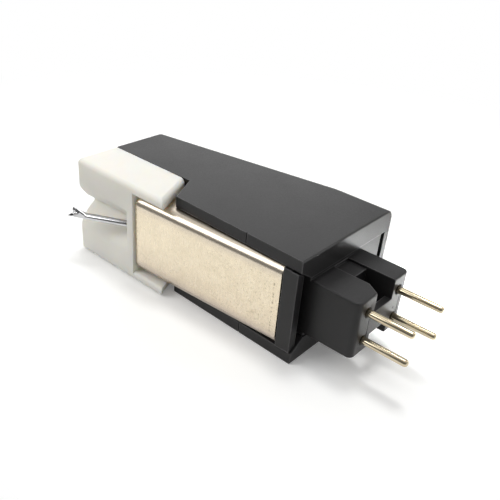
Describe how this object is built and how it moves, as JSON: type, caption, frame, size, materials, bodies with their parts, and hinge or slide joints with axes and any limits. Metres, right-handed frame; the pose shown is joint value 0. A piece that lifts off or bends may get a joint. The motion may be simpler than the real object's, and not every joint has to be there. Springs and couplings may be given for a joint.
{
  "type": "turntable stylus cartridge",
  "caption": "Plug-in moving-magnet turntable cartridge: black case with a slotted pin plug, bent metal shield and a removable ivory stylus holder with a sprung cantilever.",
  "frame": {"origin": "centre of the plug and of the pin pattern, in the plane of the housing's rear edge", "axes": "+X along the contact pins, +Y from the record side to the top, +Z across; it lies on its -Z side"},
  "size_m": [0.0379, 0.0181, 0.0108],
  "materials": {
    "black_plastic": "satin, fine grain",
    "ivory_plastic": "satin",
    "nickel_sheet": "fine brushed",
    "gold_plate": "polished",
    "aluminium_tube": "polished",
    "diamond": "polished, dark",
    "steel": "bright",
    "damper_rubber": "matt",
    "magnet_metal": "satin",
    "pole_metal": "satin",
    "carrier_plastic": "matt",
    "copper": "lacquered"
  },
  "bodies": {
    "cartridge_body": {"housing": "black_plastic", "terminal_block": "black_plastic", "shield": "nickel_sheet", "coil_frame": "carrier_plastic", "yoke_left": "pole_metal", "yoke_right": "pole_metal", "jumper_left": "copper", "jumper_right": "copper", "ground_strap": "gold_plate", "pin_top_left": "gold_plate", "pole_top_left": "pole_metal", "bobbin_top_left": "carrier_plastic", "winding_top_left": "copper", "lead_top_left": "copper", "pin_top_right": "gold_plate", "pole_top_right": "pole_metal", "bobbin_top_right": "carrier_plastic", "winding_top_right": "copper", "lead_top_right": "copper", "pin_bottom_left": "gold_plate", "pole_bottom_left": "pole_metal", "bobbin_bottom_left": "carrier_plastic", "winding_bottom_left": "copper", "lead_bottom_left": "copper", "pin_bottom_right": "gold_plate", "pole_bottom_right": "pole_metal", "bobbin_bottom_right": "carrier_plastic", "winding_bottom_right": "copper", "lead_bottom_right": "copper"},
    "stylus_assembly": {"stylus_holder": "ivory_plastic", "suspension_sleeve": "steel", "wire_anchor": "steel", "tie_wire": "steel"},
    "damper_ring": {"damper": "damper_rubber"},
    "cantilever_set": {"cantilever": "aluminium_tube", "tip_shank": "steel", "stylus_tip": "diamond", "magnet": "magnet_metal"}
  },
  "joints": [
    {"name": "stylus_slide", "type": "slide", "parent": "cartridge_body", "child": "stylus_assembly", "axis": [-1, 0, 0], "range_m": [0, 0.014]},
    {"name": "cantilever_lateral", "type": "hinge", "parent": "stylus_assembly", "child": "damper_ring", "pos_m": [-0.01925, -0.00457, 0], "axis": [-0.4695, 0.8829, 0], "range_deg": [-2.5, 2.5], "stiffness_Nm_per_rad": 0.008},
    {"name": "cantilever_vertical", "type": "hinge", "parent": "damper_ring", "child": "cantilever_set", "pos_m": [-0.01925, -0.00457, 0], "axis": [0, 0, 1], "range_deg": [-2.5, 2.5], "stiffness_Nm_per_rad": 0.008}
  ]
}
